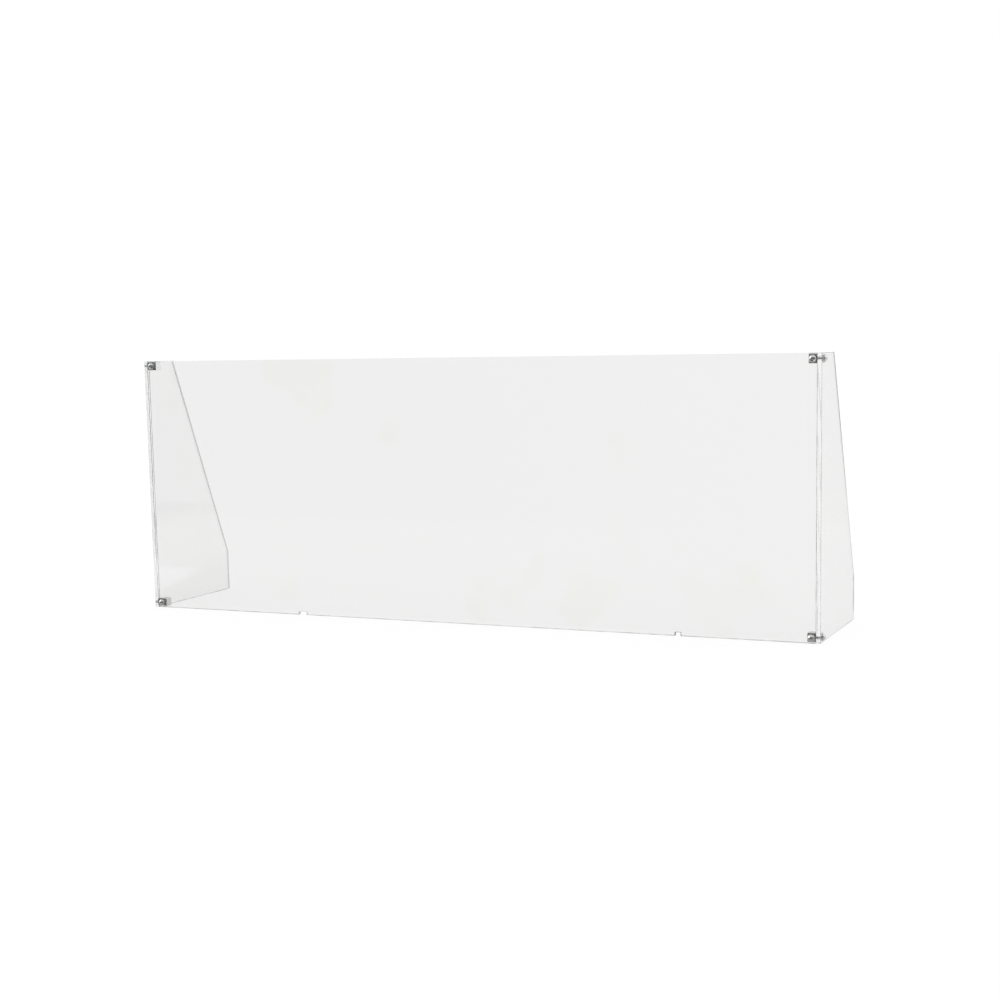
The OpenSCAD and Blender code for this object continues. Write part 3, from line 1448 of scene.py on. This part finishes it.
@dataclass
class Studio:
    """Plain pale floor and soft surrounding light.

    What is seen directly, through the sheets or along inside them is plain and pale. What is seen
    mirrored is the counter top and the room round it: pale behind and overhead, brightest behind
    on the right, and dim on the customer's side of the guard, apart from a window.
    """

    pale: Colour = (1.01, 1.01, 1.01, 1.0)
    # The room: its colours, and where each zone fades in with the ray's direction
    dim_left: Colour = (0.06, 0.058, 0.042, 1.0)
    dim_right: Colour = (0.18, 0.178, 0.15, 1.0)
    pale_room: Colour = (0.78, 0.78, 0.775, 1.0)
    bright_room: Colour = (1.15, 1.15, 1.15, 1.0)
    window: Colour = (2.2, 2.2, 2.2, 1.0)
    dim_turn: tuple[float, float] = (-0.5, -0.25)
    room_behind: tuple[float, float] = (-0.25, 0.10)
    room_above: tuple[float, float] = (0.45, 0.75)
    bright_side: tuple[float, float] = (0.45, 0.58)
    window_direction: tuple[float, float, float] = (-0.80, -0.45, 0.40)
    window_edge: tuple[float, float] = (0.88, 0.92)
    # The counter top: its glowing colours, painted light and shade that only mirrored rays see, and where
    # each zone fades in with the distance from the middle
    counter_behind: Colour = (0.78, 0.78, 0.775, 1.0)
    counter_between: Colour = (1.15, 1.15, 1.15, 1.0)
    counter_in_front: Colour = (0.18, 0.178, 0.145, 1.0)
    counter_end: tuple[float, float] = (1.2, 1.44)
    between_wings: tuple[float, float] = (0.10, 0.50)
    beside_wings: tuple[float, float] = (0.54, 0.74)
    paler_beside: float = 0.4
    front_gap: float = 40.0 * MM
    front_fade: float = 80.0 * MM
    floor_reach: float = 30.0
    floor_drop: float = 0.2 * MM
    shadow_share: float = 0.07

    def mirrored(self, wiring: Wiring) -> Socket:
        """1 for a ray mirrored once or twice, and 0 for one that came straight, bent or guided.

        A ray that is mirrored more often was guided between the two faces of a sheet.
        """
        depth = wiring.add("ShaderNodeLightPath").outputs["Glossy Depth"]
        return wiring.math("COMPARE", depth, MIRRORED_DEPTH, MIRRORED_REACH)

    def build_world(self) -> None:
        """Surrounding light, pale all round and mirrored as the room."""
        world = bpy.data.worlds.new("soft_studio")
        bpy.context.scene.world = world
        world.use_nodes = True
        wiring = Wiring(world.node_tree)
        direction = wiring.add("ShaderNodeTexCoord").outputs["Generated"]
        x, y, z = wiring.parts(direction)
        lit = wiring.math(
            "MAXIMUM", wiring.step(y, *self.room_behind), wiring.step(z, *self.room_above)
        )
        pale = wiring.blend(wiring.step(x, *self.bright_side), self.pale_room, self.bright_room)
        dim = wiring.blend(wiring.step(x, *self.dim_turn), self.dim_left, self.dim_right)
        room = wiring.blend(lit, dim, pale)
        towards = tuple(unit(np.array(self.window_direction)))
        facing = wiring.add(
            "ShaderNodeVectorMath", {0: direction, 1: towards}, operation="DOT_PRODUCT"
        )
        window = wiring.step(facing.outputs["Value"], *self.window_edge)
        room = wiring.blend(window, room, self.window)
        colour = wiring.blend(self.mirrored(wiring), self.pale, room)
        background = wiring.add("ShaderNodeBackground", {"Color": colour})
        wiring.add("ShaderNodeOutputWorld", {"Surface": background.outputs[0]})

    def counter(self, wiring: Wiring, across: Socket, along: Socket) -> bpy.types.Node:
        """Shader of the counter top and, past its end, of nothing, so that the room shows. The counter top
        glows: brightest between the wings, paler behind and dim in front, a painted pool of light and
        painted shade that only mirrored rays see.

        Args:
            wiring: Adds the nodes.
            across: Distance to either side of the guard's middle.
            along: Distance behind the guard's middle.

        Returns:
            The shader node.
        """
        beside = wiring.step(across, *self.beside_wings)
        back = wiring.weighted(along, (beside, self.paler_beside))
        front = float(node_box("front_panel")[0, 1]) - self.front_gap
        behind = wiring.step(back, front, front + self.front_fade)
        outside = wiring.step(across, *self.between_wings)
        rear = wiring.blend(outside, self.counter_between, self.counter_behind)
        colour = wiring.blend(behind, self.counter_in_front, rear)
        # The counter top glows with painted light and shade; it is no lamp
        top = wiring.add("ShaderNodeEmission", {"Color": colour})
        past = wiring.step(wiring.math("ABSOLUTE", along), *self.counter_end)
        return wiring.mix(past, top, wiring.add("ShaderNodeBsdfTransparent"))

    def build_floor(self) -> None:
        """Flat pale floor that shows a trace of shadow, a hair below the guard."""
        reach = self.floor_reach
        corners = [(-reach, -reach), (reach, -reach), (reach, reach), (-reach, reach)]
        mesh = bpy.data.meshes.new("floor")
        mesh.from_pydata([(x, y, -self.floor_drop) for x, y in corners], [], [(0, 1, 2, 3)])
        floor = linked("floor", mesh)
        made = bpy.data.materials.new("pale_floor")
        made.use_nodes = True
        made.cycles.emission_sampling = "NONE"
        wiring = Wiring(made.node_tree)
        x, y, _ = wiring.parts(wiring.add("ShaderNodeTexCoord").outputs["Object"])
        glow = wiring.add("ShaderNodeEmission", {"Color": self.pale})
        matt = wiring.add("ShaderNodeBsdfDiffuse", {"Color": self.pale})
        seen = wiring.mix(self.shadow_share, glow, matt)
        counter = self.counter(wiring, wiring.math("ABSOLUTE", x), y)
        surface = wiring.mix(self.mirrored(wiring), seen, counter)
        wiring.add("ShaderNodeOutputMaterial", {"Surface": surface.outputs[0]})
        mesh.materials.append(made)

    def build(self) -> None:
        """Builds the surroundings and sets how light and colour are worked out."""
        self.build_world()
        self.build_floor()
        scene = bpy.context.scene
        scene.view_settings.view_transform = "Standard"
        scene.cycles.max_bounces = LIGHT_BOUNCES
        scene.cycles.transmission_bounces = LIGHT_BOUNCES
        scene.cycles.glossy_bounces = LIGHT_BOUNCES


@dataclass
class Viewpoint:
    """Camera that stands a little to the right of the guard, just above its top edge."""

    across: float = 1.0362
    in_front: float = 2.2513
    height: float = 0.4074
    heading: float = 23.577
    tilt_down: float = 7.551
    roll: float = -1.031
    focal_length: float = 60.44
    shift: tuple[float, float] = (-0.02, 0.06)
    clip: tuple[float, float] = (0.05, 200.0)

    def build(self) -> None:
        """Makes the camera and sets it as the scene's."""
        data = bpy.data.cameras.new("viewpoint")
        data.lens = self.focal_length
        data.shift_x, data.shift_y = self.shift
        data.clip_start, data.clip_end = self.clip
        camera = linked("viewpoint", data)
        turn = Matrix.Rotation(math.radians(self.heading), 4, "Z")
        tilt = Matrix.Rotation(math.radians(90.0 - self.tilt_down), 4, "X")
        roll = Matrix.Rotation(math.radians(self.roll), 4, "Z")
        place = Matrix.Translation(Vector((self.across, -self.in_front, self.height)))
        camera.matrix_world = place @ turn @ tilt @ roll
        bpy.context.scene.camera = camera


def main() -> None:
    """Builds the studio, the camera and the guard."""
    logging.basicConfig(level=logging.INFO, format="%(message)s")
    Viewpoint().build()
    Studio().build()
    pieces = Guard().build()
    LOG.info("%d pieces built", len(pieces))


if __name__ == "__main__":
    main()
